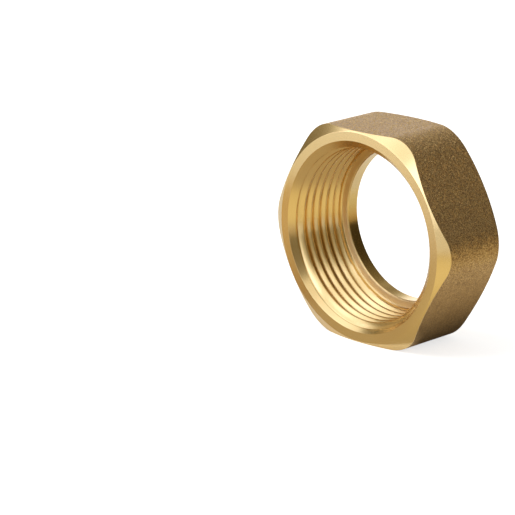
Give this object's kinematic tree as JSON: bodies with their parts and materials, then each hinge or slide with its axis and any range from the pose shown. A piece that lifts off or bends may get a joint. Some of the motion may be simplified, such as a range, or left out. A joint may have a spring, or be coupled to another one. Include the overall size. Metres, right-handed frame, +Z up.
{
  "type": "union nut",
  "caption": "Hexagonal brass union nut with coned ends, a female parallel pipe thread that washes out in a plain land, and an inner lip that pulls a tail-piece's collar onto its seal.",
  "frame": {"origin": "middle of the flat that the nut stands on, halfway along its height", "axes": "+Y along the nut's axis from the threaded mouth to the lip end, +Z up across the flats, +X across the corners"},
  "size_m": [0.0528, 0.0186, 0.048],
  "materials": {
    "brass": "forged and blasted hexagon, bright turned ends and bore"
  },
  "bodies": {
    "root": {"union_nut": "brass"}
  },
  "joints": []
}
